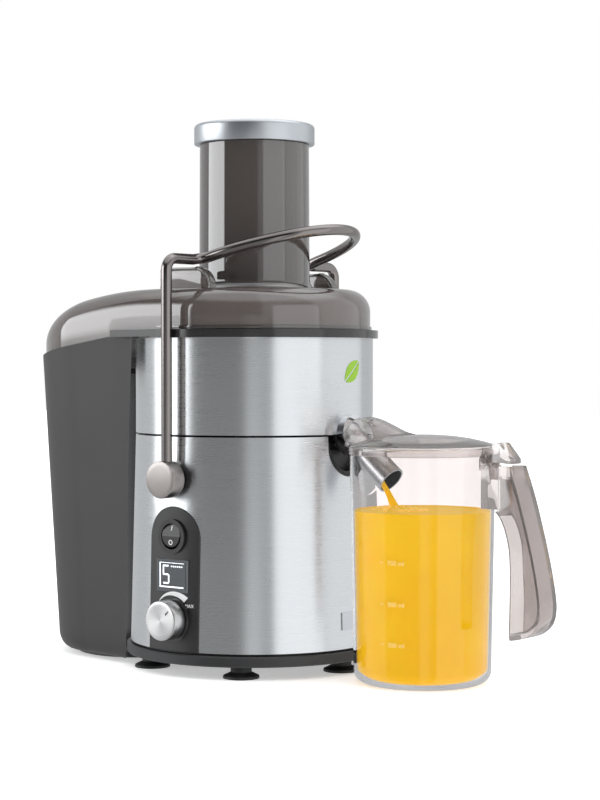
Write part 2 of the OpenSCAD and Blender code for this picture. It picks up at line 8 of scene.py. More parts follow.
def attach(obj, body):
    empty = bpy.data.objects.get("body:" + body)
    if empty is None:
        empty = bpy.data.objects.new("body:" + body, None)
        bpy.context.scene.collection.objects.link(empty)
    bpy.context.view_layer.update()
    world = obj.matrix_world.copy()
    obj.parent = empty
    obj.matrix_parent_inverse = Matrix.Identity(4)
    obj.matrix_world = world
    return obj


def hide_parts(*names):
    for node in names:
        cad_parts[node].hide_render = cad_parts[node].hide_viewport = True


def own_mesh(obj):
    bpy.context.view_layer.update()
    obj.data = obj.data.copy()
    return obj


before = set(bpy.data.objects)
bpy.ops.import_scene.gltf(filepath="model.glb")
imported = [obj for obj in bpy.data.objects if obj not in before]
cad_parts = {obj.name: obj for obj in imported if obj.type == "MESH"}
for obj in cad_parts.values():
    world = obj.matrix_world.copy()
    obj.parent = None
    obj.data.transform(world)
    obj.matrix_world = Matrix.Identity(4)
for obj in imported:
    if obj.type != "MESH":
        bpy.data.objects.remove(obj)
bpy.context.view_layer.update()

MM = 0.001


# ---------- shader maths ----------

class Value:
    """A shader output that turns Python arithmetic into Math nodes."""

    def __init__(self, nodes, socket):
        self.nodes = nodes
        self.socket = socket

    def math(self, operation, *others):
        inputs = dict(enumerate((self,) + others))
        return self.nodes.node("ShaderNodeMath", {"operation": operation}, inputs)

    def __add__(self, other):
        return self.math("ADD", other)

    def __sub__(self, other):
        return self.math("SUBTRACT", other)

    def __mul__(self, other):
        return self.math("MULTIPLY", other)

    def __truediv__(self, other):
        return self.math("DIVIDE", other)

    def __rsub__(self, other):
        return self.nodes.node("ShaderNodeMath", {"operation": "SUBTRACT"}, {0: other, 1: self})

    __radd__ = __add__
    __rmul__ = __mul__


class Nodes:
    """A node tree whose sockets take plain values or Value expressions."""

    def __init__(self, tree):
        self.tree = tree

    def feed(self, socket, value):
        if isinstance(value, Value):
            self.tree.links.new(value.socket, socket)
        elif isinstance(value, (tuple, list)) and len(value) == 3 and len(socket.default_value) == 4:
            socket.default_value = (*value, 1)
        else:
            socket.default_value = value

    def node(self, kind, settings=None, inputs=None, output=0):
        made = self.tree.nodes.new(kind)
        for key, value in (settings or {}).items():
            setattr(made, key, value)
        for key, value in (inputs or {}).items():
            self.feed(made.inputs[key], value)
        return Value(self, made.outputs[output])

    def place(self):
        """Object coordinates: metres in the part's own frame."""
        return self.node("ShaderNodeTexCoord", output="Object")

    def parts(self, vector):
        split = self.node("ShaderNodeSeparateXYZ", inputs={0: vector})
        return [Value(self, out) for out in split.socket.node.outputs]

    def vector(self, x, y, z):
        return self.node("ShaderNodeCombineXYZ", inputs={0: x, 1: y, 2: z})

    def noise(self, vector, scale, detail=3, roughness=0.5):
        inputs = {"Vector": vector, "Scale": scale, "Detail": detail, "Roughness": roughness}
        return self.node("ShaderNodeTexNoise", {}, inputs)

    def mix(self, factor, low, high):
        settings = {"data_type": "RGBA"}
        return self.node("ShaderNodeMix", settings, {0: factor, 6: low, 7: high}, output=2)

    def bump(self, height, distance, strength=1.0):
        inputs = {"Height": height, "Distance": distance, "Strength": strength}
        return self.node("ShaderNodeBump", {}, inputs)


class Finish(Nodes):
    """A Principled material."""

    def __init__(self, name, **fixed):
        self.material = bpy.data.materials.new(name)
        self.material.use_nodes = True
        super().__init__(self.material.node_tree)
        self.shader = self.tree.nodes["Principled BSDF"]
        self.set(**fixed)

    def set(self, **inputs):
        for key, value in inputs.items():
            socket_name = key.replace("_", " ").title().replace("Ior", "IOR")
            self.feed(self.shader.inputs[socket_name], value)


def spread(value, low, high):
    """Rescales 0 to 1 into low to high."""
    return value * (high - low) + low


# ---------- finishes ----------

def turned_streaks(finish, along, across, seed=0.0):
    """Fine lines that run round the Z axis."""
    x, y, z = finish.parts(finish.place())
    angle = y.math("ARCTAN2", x)
    fine = finish.noise(finish.vector(angle * along, z * across, seed), 1.0, detail=4, roughness=0.65)
    broad = finish.noise(finish.vector(angle * along * 0.4, z * across * 0.12, seed + 3), 1.0, detail=2)
    return fine * 0.7 + broad * 0.3


def brushed_shell(name):
    finish = Finish(name, metallic=1.0, anisotropic=0.8, anisotropic_rotation=0.25)
    streaks = turned_streaks(finish, 5.0, 1500.0)
    finish.set(base_color=finish.mix(streaks, (0.68, 0.70, 0.715), (0.84, 0.855, 0.865)),
               roughness=spread(streaks, 0.23, 0.33),
               normal=finish.bump(streaks, 0.00002, 0.18))
    return finish.material


def spun_face(name, centre):
    """Turned metal with rings about a centre in the XZ plane, and a painted highlight fan on its front face.
    """
    finish = Finish(name, metallic=1.0)
    x, y, z = finish.parts(finish.place())
    dx = x - centre[0]
    dz = z - centre[1]
    radius = (dx * dx + dz * dz).math("SQRT")
    rings = finish.noise(finish.vector(radius * 2600.0, y * 900.0, 0.0), 1.0, detail=2)
    angle = dz.math("ARCTAN2", dx)
    # painted highlight: the base colour swings lighter and darker in a two-lobed fan round the centre, on the
    # front face only
    highlight_fan = (angle * 2.0 + 0.7).math("SINE")
    face = (y * -1.0).math("GREATER_THAN", 0.1)
    shade = spread(highlight_fan * face, 0.62, 0.84)
    finish.set(base_color=finish.mix(shade, (0.25, 0.25, 0.26), (0.95, 0.94, 0.93)),
               roughness=spread(rings, 0.22, 0.38),
               normal=finish.bump(rings, 0.00003, 0.4))
    return finish.material


def plain_metal(name, colour, rough, grain=900.0):
    finish = Finish(name, metallic=1.0)
    mottle = finish.noise(finish.place(), grain, detail=3)
    cloud = finish.noise(finish.place(), 35.0, detail=2)
    dark = tuple(c * 0.86 for c in colour)
    finish.set(base_color=finish.mix(cloud, dark, colour),
               roughness=spread(mottle, rough * 0.8, rough * 1.25),
               normal=finish.bump(mottle, 0.00001, 0.25))
    return finish.material


def moulded(name, colour, rough, grain_scale=1400.0, depth=0.00004, coat=0.0):
    """Moulded plastic or rubber with a fine spark-eroded grain."""
    finish = Finish(name, coat_weight=coat, coat_roughness=0.08, specular_ior_level=0.5)
    grain = finish.noise(finish.place(), grain_scale, detail=2, roughness=0.6)
    cloud = finish.noise(finish.place(), 18.0, detail=3)
    light = tuple(c * 1.25 + 0.004 for c in colour)
    finish.set(base_color=finish.mix(cloud, colour, light),
               roughness=spread(grain, rough * 0.85, min(1.0, rough * 1.15)),
               normal=finish.bump(grain, depth, 0.5))
    return finish.material


def see_through(name, colour, rough=0.03, transmission=1.0, ior=1.3, coat=0.6):
    """Clear tinted plastic with faint moulding waves."""
    finish = Finish(name, transmission_weight=transmission, ior=ior, coat_weight=coat,
                    coat_ior=1.9, coat_roughness=0.01)
    waves = finish.noise(finish.place(), 22.0, detail=2)
    light = tuple(min(1.0, c * 1.08) for c in colour)
    finish.set(base_color=finish.mix(waves, colour, light),
               roughness=spread(waves, rough * 0.6, rough * 1.4),
               normal=finish.bump(waves, 0.0002, 0.12))
    return finish.material


def glowing(name, colour, strength):
    finish = Finish(name, roughness=0.3, emission_strength=strength)
    grid = finish.noise(finish.place(), 500.0, detail=1)
    finish.set(base_color=finish.mix(grid, tuple(c * 0.8 for c in colour), colour),
               emission_color=finish.mix(grid, tuple(c * 0.85 for c in colour), colour))
    return finish.material


def wound_copper(name):
    finish = Finish(name, metallic=0.9)
    streaks = turned_streaks(finish, 3.0, 2500.0)
    finish.set(base_color=finish.mix(streaks, (0.35, 0.14, 0.05), (0.8, 0.38, 0.17)),
               roughness=spread(streaks, 0.25, 0.45),
               normal=finish.bump(streaks, 0.0003, 0.6))
    return finish.material


def stacked_sheet(name):
    finish = Finish(name, metallic=0.8)
    z = finish.parts(finish.place())[2]
    stripes = (z * 9000.0).math("SINE") * 0.5 + 0.5
    finish.set(base_color=finish.mix(stripes, (0.12, 0.12, 0.13), (0.34, 0.34, 0.36)),
               roughness=spread(stripes, 0.4, 0.6),
               normal=finish.bump(stripes, 0.0001, 0.5))
    return finish.material


def perforated_steel(name):
    """Basket sheet whose rows of fine holes are cut by transparency."""
    finish = Finish(name, metallic=1.0, roughness=0.3)
    x, y, z = finish.parts(finish.place())
    angle = y.math("ARCTAN2", x)
    columns = (angle * 220.0).math("SINE")
    rows = (z * 5200.0).math("SINE")
    holes = (columns * rows).math("GREATER_THAN", 0.45)
    grain = finish.noise(finish.place(), 700.0)
    finish.set(base_color=finish.mix(grain, (0.5, 0.51, 0.52), (0.75, 0.76, 0.77)), alpha=1.0 - holes)
    return finish.material


def orange_juice_painted_glow(name, surface_z, foot_z):
    """Deep orange in the body, paler and pulpy near the surface; the same colour also drives emission, a
    painted glow.
    """
    finish = Finish(name, roughness=0.4, subsurface_weight=0.15, subsurface_scale=0.004,
                    specular_ior_level=0.1, emission_strength=0.5)
    z = finish.parts(finish.place())[2]
    height = ((z - foot_z) / (surface_z - foot_z)).math("SMOOTH_MIN", 1.0, 0.1)
    pulp = finish.noise(finish.place(), 260.0, detail=4)
    swirl = finish.noise(finish.place(), 30.0, detail=3)
    body = finish.mix(swirl, (1.0, 0.50, 0.0), (1.0, 0.62, 0.0))
    colour = finish.mix(height * pulp * 0.4, body, (1.0, 0.72, 0.02))
    # painted glow: the juice colour is also its emission colour, which brightens it beyond its lighting
    finish.set(base_color=colour, emission_color=colour,
               normal=finish.bump(pulp, 0.0003, 0.3))
    return finish.material


def painted_print(name, colour):
    finish = Finish(name)
    ink = finish.noise(finish.place(), 1200.0, detail=2)
    finish.set(base_color=finish.mix(ink, tuple(c * 0.88 for c in colour), colour),
               roughness=spread(ink, 0.35, 0.5))
    return finish.material


SHELL_STEEL = brushed_shell("brushed_shell_steel")
DIAL_FACE = spun_face("spun_dial_metal", (0.0, 0.042))
SATIN_STEEL = plain_metal("satin_steel", (0.74, 0.75, 0.77), 0.28)
RING_CHROME = plain_metal("polished_ring_chrome", (0.85, 0.86, 0.88), 0.08)
ARM_CHROME = plain_metal("gunmetal_chrome", (0.30, 0.275, 0.265), 0.16)
DISC_METAL = plain_metal("gunmetal_disc_face", (0.38, 0.35, 0.335), 0.3)
CAP_SILVER = plain_metal("silver_cap_paint", (0.66, 0.69, 0.72), 0.36, 1600.0)
ZINC = plain_metal("zinc_plate", (0.6, 0.6, 0.62), 0.3)
CAST = plain_metal("cast_alloy", (0.62, 0.63, 0.65), 0.5, 300.0)
SMOKE = see_through("smoky_lid_plastic", (0.15, 0.125, 0.115), 0.03, 0.45, 1.6, 0.6)
SMOKE_DARK = see_through("smoky_chute_plastic", (0.075, 0.065, 0.06), 0.02, 0.3, 1.6, 0.7)
CLEAR = see_through("clear_jug_plastic", (0.80, 0.765, 0.755), 0.01, 1.0, 1.2, 0.2)
CLEAR_GREY = see_through("clear_handle_plastic", (0.50, 0.45, 0.435), 0.02, 0.88, 1.35, 0.5)
CLEAR_LID = see_through("clear_jug_lid_plastic", (0.68, 0.64, 0.625), 0.02, 0.9, 1.3, 0.35)
BLACK_GLOSS = moulded("black_gloss_plastic", (0.012, 0.011, 0.011), 0.16, 500.0, 0.00001, 0.5)
PANEL_BLACK = moulded("satin_panel_black", (0.013, 0.012, 0.012), 0.32, 900.0, 0.00001, 0.1)
BIN_GREY = moulded("matt_bin_plastic", (0.026, 0.0245, 0.0245), 0.46, 1500.0, 0.00003)
DARK_PLASTIC = moulded("dark_base_plastic", (0.02, 0.02, 0.021), 0.42)
RUBBER = moulded("foot_rubber", (0.012, 0.012, 0.012), 0.6, 700.0, 0.00006)
WHITE_PLASTIC = moulded("white_plastic", (0.7, 0.7, 0.68), 0.4)
CARBON = moulded("pressed_carbon", (0.03, 0.03, 0.03), 0.7)
BOARD = moulded("circuit_board", (0.02, 0.13, 0.06), 0.4)
WINDOW = moulded("display_glass", (0.05, 0.055, 0.06), 0.06, 300.0, 0.000005, 1.0)
LIT = glowing("lit_display_segments", (0.88, 0.93, 0.97), 0.9)
DIM = glowing("display_backlight", (0.045, 0.05, 0.055), 0.5)
COPPER = wound_copper("wound_copper")
LAMINATION = stacked_sheet("stacked_laminations")
PERFORATED = perforated_steel("perforated_basket_steel")
WHITE_PRINT = painted_print("white_print", (0.85, 0.85, 0.85))
LEAF_GREEN = painted_print("leaf_green_print", (0.24, 0.45, 0.02))
MARK_PRINT = painted_print("frosted_mark_print", (0.98, 0.70, 0.24))
# painted glow: the foam bubbles emit light so they read bright, though they are no lamp
FOAM_PAINTED_GLOW = glowing("juice_foam", (1.0, 0.68, 0.14), 0.6)

CAD_FINISHES = {
    SHELL_STEEL: ["base_shell", "bowl_band"],
    SATIN_STEEL: ["spout_tube", "basket_rim", "grating_disc", "badge_plate"],
    RING_CHROME: ["spout_ring"],
    DARK_PLASTIC: ["base_frame", "base_skirt", "bottom_plate", "notch_liner", "bowl_body", "basket_hub",
                   "drive_coupling", "interlock_switch", "pivot_bushes", "speed_control", "cord_gland"],
    BLACK_GLOSS: ["bowl_collar", "pusher_body", "dial_ring"],
    PANEL_BLACK: ["control_panel", "switch_bezel", "switch_rocker"],
    RUBBER: ["suction_feet", "motor_mounts", "shaft_seal"],
    ZINC: ["bottom_screws", "motor_screws", "motor_shaft", "shaft_bearings", "pivot_pins", "dial_shaft"],
    CAST: ["motor_brackets"],
    LAMINATION: ["motor_stator", "armature"],
    COPPER: ["stator_windings", "commutator"],
    CARBON: ["carbon_brushes"],
    BOARD: ["control_board"],
    WHITE_PLASTIC: ["cooling_fan", "interlock_cams"],
    WINDOW: ["display_window"],
    DIM: ["display_module"],
    PERFORATED: ["basket_mesh"],
    SMOKE: ["lid_lugs"],
    SMOKE_DARK: ["feed_chute"],
    CLEAR_GREY: ["jug_hinge_pin"],
}
for finish_material, node_names in CAD_FINISHES.items():
    for node_name in node_names:
        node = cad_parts[node_name]
        node.data.materials.clear()
        node.data.materials.append(finish_material)


# ---------- mesh helpers ----------

def closed_mesh(name, verts, faces):
    """A mesh with its doubled points merged and its faces turned outwards."""
    mesh = bpy.data.meshes.new(name)
    mesh.from_pydata([tuple(v) for v in verts], [], faces)
    build = bmesh.new()
    build.from_mesh(mesh)
    bmesh.ops.remove_doubles(build, verts=build.verts, dist=1e-6)
    bmesh.ops.recalc_face_normals(build, faces=build.faces)
    build.to_mesh(mesh)
    build.free()
    return mesh


def piece(name, verts, faces, material, body, slot, replaces=(), smooth=35.0):
    """Makes a mesh piece that rides on a body."""
    mesh = closed_mesh(name, verts, faces)
    mesh.materials.append(material)
    made = bpy.data.objects.new(name, mesh)
    bpy.context.collection.objects.link(made)
    soften(made, smooth)
    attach(made, body)
    if replaces:
        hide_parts(*replaces)
    return made


def soften(made, angle):
    """Smooth shading, kept crisp where faces meet at more than the angle."""
    for face in made.data.polygons:
        face.use_smooth = True
    build = bmesh.new()
    build.from_mesh(made.data)
    for edge in build.edges:
        edge.smooth = len(edge.link_faces) == 2 and edge.calc_face_angle() < math.radians(angle)
    build.to_mesh(made.data)
    build.free()


def settle(made):
    """Applies a piece's modifiers to its mesh."""
    graph = bpy.context.evaluated_depsgraph_get()
    solid = bpy.data.meshes.new_from_object(made.evaluated_get(graph))
    made.modifiers.clear()
    made.data = solid


def round_edges(made, width, segments=3, angle=30.0):
    """Bevels a piece's sharp edges and applies the result."""
    bevel = made.modifiers.new("edges", "BEVEL")
    bevel.width = width
    bevel.segments = segments
    bevel.limit_method = "ANGLE"
    bevel.angle_limit = math.radians(angle)
    settle(made)
    soften(made, 40.0)


def combine(made, shape, operation="UNION"):
    """Adds a closed shape to a piece, or cuts it out."""
    tool = bpy.data.objects.new("tool", closed_mesh("tool", *shape))
    bpy.context.collection.objects.link(tool)
    step = made.modifiers.new("step", "BOOLEAN")
    step.operation = operation
    step.solver = "EXACT"
    step.object = tool
    settle(made)
    bpy.data.objects.remove(tool)


def cut(made, shape):
    combine(made, shape, "DIFFERENCE")


def moved(shape, matrix):
    """A shape carried by a matrix."""
    verts, faces = shape
    return [matrix @ Vector(v) for v in verts], faces


def turn_about(axis, degrees):
    return Matrix.Rotation(math.radians(degrees), 4, axis)


def loft(rings, closed_ends=True, wrap=False):
    """Vertices and faces through rings that hold equal numbers of points."""
    count = len(rings[0])
    verts = [p for ring in rings for p in ring]
    faces = []
    spans = len(rings) if wrap else len(rings) - 1
    for i in range(spans):
        here = i * count
        there = (i + 1) % len(rings) * count
        for k in range(count):
            j = (k + 1) % count
            faces.append((here + k, here + j, there + j, there + k))
    if closed_ends and not wrap:
        faces.append(tuple(range(count)))
        faces.append(tuple(range((len(rings) - 1) * count, len(rings) * count)))
    return verts, faces


def turned(profile, centre=(0, 0, 0), steps=128):
    """A closed (radius, height) outline in millimetres, turned about a vertical axis."""
    rings = []
    for k in range(steps):
        a = math.tau * k / steps
        x = math.cos(a)
        y = math.sin(a)
        rings.append([(centre[0] + r * MM * x, centre[1] + r * MM * y, centre[2] + z * MM)
                      for r, z in profile])
    return loft(rings, closed_ends=False, wrap=True)


def slab(outline, low, high, axis="y"):
    """A flat outline in millimetres pushed out along an axis; the outline is in the other two axes."""
    def point(u, v, w):
        return {"y": (u, w, v), "z": (u, v, w), "x": (w, u, v)}[axis]
    rings = [[tuple(MM * c for c in point(u, v, w)) for u, v in outline] for w in (low, high)]
    return loft(rings)


def box_outline(left, low, right, high):
    return [(left, low), (right, low), (right, high), (left, high)]


def arc(cx, cy, r, start, end, steps):
    """Points on a circular arc, angles in degrees."""
    turns = [math.radians(start + (end - start) * k / steps) for k in range(steps + 1)]
    return [(cx + r * math.cos(a), cy + r * math.sin(a)) for a in turns]


def smooth_line(points, steps=6):
    """A Catmull-Rom curve through points of any dimension."""
    line = []
    last = len(points) - 1
    for i in range(last):
        a, b, c, d = (Vector(points[max(0, min(last, k))]) for k in (i - 1, i, i + 1, i + 2))
        for s in range(steps):
            t = s / steps
            line.append(0.5 * (2 * b + (c - a) * t + (2 * a - 5 * b + 4 * c - d) * t * t
                               + (3 * b - a - 3 * c + d) * t ** 3))
    line.append(Vector(points[last]))
    return line


def heading(line, i):
    """Direction of a line at one of its points."""
    ahead = line[min(i + 1, len(line) - 1)] - line[max(i - 1, 0)]
    return ahead.normalized()


def outward(line, i):
    """Sideways direction in the XZ plane, away from the inside of the bend."""
    ahead = heading(line, i)
    return Vector((-ahead.z, 0, ahead.x))


def rod(path, radius, sides=28):
    """A round bar along a list of points, carried without twist."""
    rings = []
    side = Vector((1, 0, 0))
    turns = [math.tau * k / sides for k in range(sides)]
    for i, point in enumerate(path):
        ahead = heading(path, i)
        side = (side - side.dot(ahead) * ahead).normalized()
        up = ahead.cross(side)
        rings.append([point + radius * (side * math.cos(t) + up * math.sin(t)) for t in turns])
    return loft(rings)


def lettering(name, text, size, material, body, slot, place):
    """Thin raised characters, laid on a surface by a function of (x, height, lift) in millimetres."""
    curve = bpy.data.curves.new(name + "_outline", "FONT")
    curve.body = text
    curve.size = size
    curve.extrude = 0.09
    curve.resolution_u = 4
    source = bpy.data.objects.new(name + "_outline", curve)
    bpy.context.collection.objects.link(source)
    bpy.context.view_layer.update()
    mesh = bpy.data.meshes.new_from_object(source.evaluated_get(bpy.context.evaluated_depsgraph_get()))
    verts = [place(v.co.x, v.co.y, v.co.z + 0.1) for v in mesh.vertices]
    faces = [tuple(face.vertices) for face in mesh.polygons]
    bpy.data.objects.remove(source)
    piece(name, verts, faces, material, body, slot)


# ---------- lid ----------

LID_R = 89.0
END_R = 79.0
BIN_X = 115.0
LID_TOP = 286.0
LID_EDGE = 17.0
LID_WALL = 2.5
LID_FOOT = 255.3
BIN_SIDE_X = -74.0
BIN_SIDE_FOOT = 225.5
FALL_X = -40.0
FALL_LENGTH = 154.0
CHUTE_R = 42.5
LUG_Y = 73


def plan_outline(r_body, r_end, across=64, along=20):
    """Round outline over the bowl drawn out to a smaller round end on -X."""
    turn = math.degrees(math.acos(-(r_body - r_end) / BIN_X))
    body = arc(0, 0, r_body, -turn, turn, across)
    end = arc(-BIN_X, 0, r_end, turn, 360 - turn, across)
    sides = []
    for a, b in ((body[-1], end[0]), (end[-1], body[0])):
        shares = [k / along for k in range(1, along)]
        sides.append([(a[0] + (b[0] - a[0]) * s, a[1] + (b[1] - a[1]) * s) for s in shares])
    return body + sides[0] + end + sides[1]


def lid_fall(x):
    """How far a place lies down the lid's falling end: 0 over the bowl, 1 at the tip."""
    return max(0.0, FALL_X - x) / FALL_LENGTH


def lid_ridge(x):
    """Height of the lid's top along its length: flat over the bowl, then curving down."""
    return LID_TOP - 25.0 * lid_fall(x) ** 2.1


def lid_round(x):
    """Radius of the lid's top edge, larger towards the bin's end."""
    return LID_EDGE + 8.0 * min(1.0, lid_fall(x))


def lid_rings(inset):
    """Rings up the lid's side, round its edge and in over its top."""
    outer = plan_outline(LID_R - inset, END_R - inset)
    inner = plan_outline(LID_R - inset - LID_EDGE, END_R - inset - LID_EDGE)
    middle = plan_outline(11.0 - inset, 1.0)
    rings = []
    for level in range(3):
        ring = []
        for x, y in outer:
            foot = BIN_SIDE_FOOT if x < BIN_SIDE_X else LID_FOOT
            top = lid_ridge(x) - lid_round(x)
            ring.append((x, y, foot + (top - foot) * level / 3))
        rings.append(ring)
    for k in range(13):
        a = math.radians(90 * k / 12)
        ring = []
        for (x, y), (u, v) in zip(outer, inner):
            share = (1 - math.cos(a)) * lid_round(x) / LID_EDGE
            drop = lid_round(x) * (1 - math.sin(a))
            ring.append((x + (u - x) * share, y + (v - y) * share, lid_ridge(x) - inset - drop))
        rings.append(ring)
    edge = rings[-1]
    for k in range(1, 9):
        share = k / 8
        crown = 0.8 * math.sin(share * math.pi / 2)
        ring = []
        for (ex, ey, ez), (x, y) in zip(edge, middle):
            px = ex + (x - ex) * share
            py = ey + (y - ey) * share
            ring.append((px, py, ez + lid_ridge(px) - lid_ridge(ex) + crown))
        rings.append(ring)
    return [[tuple(c * MM for c in p) for p in ring] for ring in rings]


def make_lid_shell():
    outside = lid_rings(0.0)
    inside = lid_rings(LID_WALL)
    count = len(outside[0])
    verts, faces = loft(outside[::-1] + inside, closed_ends=False)
    last = len(outside + inside) - 1
    faces.append(tuple(range(count)))
    faces.append(tuple(range(last * count, (last + 1) * count)))
    lid = piece("lid_shell", verts, faces, SMOKE, "lid", "smoke_plastic", ["lid_cover"], smooth=50)
    bore_r = CHUTE_R - 0.05
    cut(lid, turned([(0.01, 200), (bore_r, 200), (bore_r, 320), (0.01, 320)], steps=96))
    soften(lid, 50)


def make_chute_fillet():
    """The hollow curve where the chute rises out of the lid."""
    inner_r = CHUTE_R + 0.05
    hollow = arc(50.5, 293.6, 7.9, -90, -178, 10)
    profile = [(inner_r, 284), (50.5, 284.6), (50.5, 286.6)] + hollow + [(inner_r, 294)]
    piece("lid_chute_fillet", *turned(profile), SMOKE_DARK, "lid", "smoke_plastic", smooth=60)


def make_lid_bead():
    """The bead round the lid's foot, over the bowl only."""
    profile = [(LID_R - 0.2, 255.4), (LID_R + 1.0, 255.5), (LID_R + 1.2, 256.6), (LID_R + 1.0, 257.8),
               (LID_R - 0.2, 258.2)]
    bead = piece("lid_base_bead", *turned(profile), SMOKE_DARK, "lid", "smoke_plastic", smooth=60)
    cut(bead, slab(box_outline(-120, 240, -34, 280), -120, 120))


def make_lug(side):
    """One of the two latch lugs: a thin web with a wider band round its edge."""
    y = side * LUG_Y
    web_outline = [(-27, 283), (-27, 298), (-25.5, 300.5), (-23, 301)]
    web_outline += arc(6, 285, 16, 90, 0, 14) + [(22, 283)]
    web = piece(f"lid_lug_web_{side}", *slab(web_outline, y - 1.4, y + 1.4), SMOKE, "lid", "smoke_plastic")
    round_edges(web, 0.5 * MM, 2)
    path = [(-27, 284.5), (-27, 297), (-24, 300.4)] + arc(6, 285, 15.4, 90, 0, 12)
    line = smooth_line([(x * MM, y * MM, z * MM) for x, z in path], 3)
    section = ((-3.5, -1.2), (3.5, -1.2), (3.5, 0.6), (-3.5, 0.6))
    rings = []
    for i, point in enumerate(line):
        push = outward(line, i)
        rings.append([point + Vector((0, across * MM, 0)) + push * out * MM for across, out in section])
    band = piece(f"lid_lug_edge_{side}", *loft(rings), SMOKE_DARK, "lid", "smoke_plastic", ["lid_lugs"])
    round_edges(band, 0.4 * MM, 2)


def make_pusher_cap():
    cap_r = 46.2
    low = 397.3
    top = 415.0
    profile = [(0.01, low + 2), (39, low + 2), (40.5, low), (cap_r - 0.9, low)]
    profile += arc(cap_r - 0.8, low + 0.8, 0.8, -90, 0, 4)
    profile += arc(cap_r - 3.2, top - 5.6, 3.2, 0, 72, 8)
    profile += [(30, top - 0.9), (15, top - 0.25), (0.01, top)]
    piece("pusher_cap_shell", *turned(profile, steps=160), CAP_SILVER, "pusher", "silver_plastic",
          ["pusher_cap"], smooth=50)


# ---------- lock arm ----------

ARM_Y = 100.0
BAR_Z = 307.0
ARM_BEND = 9.0
LOOP_Y = 62.0
LOOP_X = 85
LOOP_RISE = 22
PIVOT_Z = 145.0
DISC_Y = 108.0


def arm_side(side):
    """One side of the rod: up from the pivot, over the top bar and round to the loop's start."""
    path = [(0, side * ARM_Y, z) for z in (140, 180, 220, 260, 290)]
    for degrees in range(0, 91, 9):
        a = math.radians(degrees)
        path.append((0, side * (ARM_Y - ARM_BEND + ARM_BEND * math.cos(a)),
                     BAR_Z - ARM_BEND + ARM_BEND * math.sin(a)))
    path += [(0, side * y, BAR_Z) for y in (86, 80, 75)]
    for degrees in range(0, 82, 9):
        a = math.radians(degrees)
        path.append((ARM_BEND * (1 - math.cos(a)), side * (LOOP_Y + ARM_BEND * (1 - math.sin(a))),
                     BAR_Z + 2 * degrees / 90))
    return path


def arm_loop():
    """The loop round the chute: half an oval that rises towards +X."""
    turns = [math.radians(degrees) for degrees in range(9, 172, 3)]
    return [(LOOP_X * math.sin(t), -LOOP_Y * math.cos(t), BAR_Z + LOOP_RISE * math.sin(t)) for t in turns]


def make_lock_arm():
    path = [Vector(p) * MM for p in arm_side(-1) + arm_loop() + arm_side(1)[::-1]]
    piece("lock_arm_rod", *rod(path, 4 * MM), ARM_CHROME, "lock_arm", "dark_chrome", ["lock_arm"], smooth=60)
    profile = [(0.01, 0), (10, 0.05), (12.7, 0.35), (13.3, 0.5), (13.65, 1.1), (13.65, 12.2), (0.01, 12.2)]
    for side in (-1, 1):
        centre = Vector((0, side * DISC_Y, PIVOT_Z)) * MM
        disc = moved(turned(profile, steps=96), Matrix.Translation(centre) @ turn_about("X", side * 90))
        piece(f"pivot_disc_{side}", *disc, DISC_METAL, "lock_arm", "dark_chrome", ["pivot_discs"], smooth=40)


# ---------- pulp bin ----------

BODY_CLEAR_R = 99.2
BIN_R = 83
BIN_WALL = 2.4
BIN_FLOOR = 3.0
BIN_DRAFT = 14.0
SIDE_SPREAD = 5.5
FOOT_HEIGHT = 14.0
FOOT_TOP = BIN_FLOOR + FOOT_HEIGHT
FOOT_LEVEL = 0.06
BIN_CORNER_X = -45.2
INNER_WALL_TOP = 222.0


def bin_rim(x):
    """Height of the bin's rim: rising towards the body, then rounded down at its corner."""
    if x < -80:
        return 231 + (x + 198) * 19 / 118
    if x < -59:
        return 250 - (x + 80) * 1.4 / 21
    return 234.6 + math.sqrt(max(0.0, 14 ** 2 - (x + 59) ** 2))


def bin_inset(z):
    """How far the bin narrows below its rim: a straight draft, then a rounded foot."""
    if z >= FOOT_TOP:
        return BIN_DRAFT * (1 - (z - FOOT_TOP) / 245)
    return BIN_DRAFT + 10 * (1 - math.sqrt(max(0.0, 1 - ((FOOT_TOP - z) / FOOT_HEIGHT) ** 2)))


def bin_outline(r, hollow_r, corner_x):
    """The bin's plan: a round end with its sides, and a hollow face that follows the body."""
    near_y = r + SIDE_SPREAD
    reach = math.asin(min(1.0, near_y / hollow_r))
    near_x = min(corner_x, max(-hollow_r * math.cos(reach), corner_x - 30))
    shares = [k / 28 for k in range(28)]
    sides = []
    for s in (1, -1):
        sides.append([(near_x + (-BIN_X - near_x) * t, s * (near_y - SIDE_SPREAD * t)) for t in shares])
    end = arc(-BIN_X, 0, r, 90, 270, 56)
    a = math.degrees(math.atan2(near_y, -near_x))
    hollow = arc(0, 0, hollow_r, 180 + a, 180 - a, 30)[1:-1]
    return sides[0] + end + sides[1][::-1], hollow


def bin_ring(level, wall, floor):
    """One ring at a share of the height; a middling outline tells how high the rim is at each point."""
    hollow_r = BODY_CLEAR_R + wall
    corner_x = BIN_CORNER_X - wall
    middling = bin_outline(BIN_R - wall - BIN_DRAFT / 2, hollow_r, corner_x)
    ring = []
    for part, points in enumerate(middling):
        for k, (x, y) in enumerate(points):
            top = bin_rim(x) if part == 0 else INNER_WALL_TOP
            z = floor + (top - floor) * level
            if level < FOOT_LEVEL:
                z = floor + FOOT_HEIGHT * level / FOOT_LEVEL
            u, v = bin_outline(BIN_R - wall - bin_inset(z), hollow_r, corner_x)[part][k]
            ring.append((u * MM, v * MM, z * MM))
    return ring


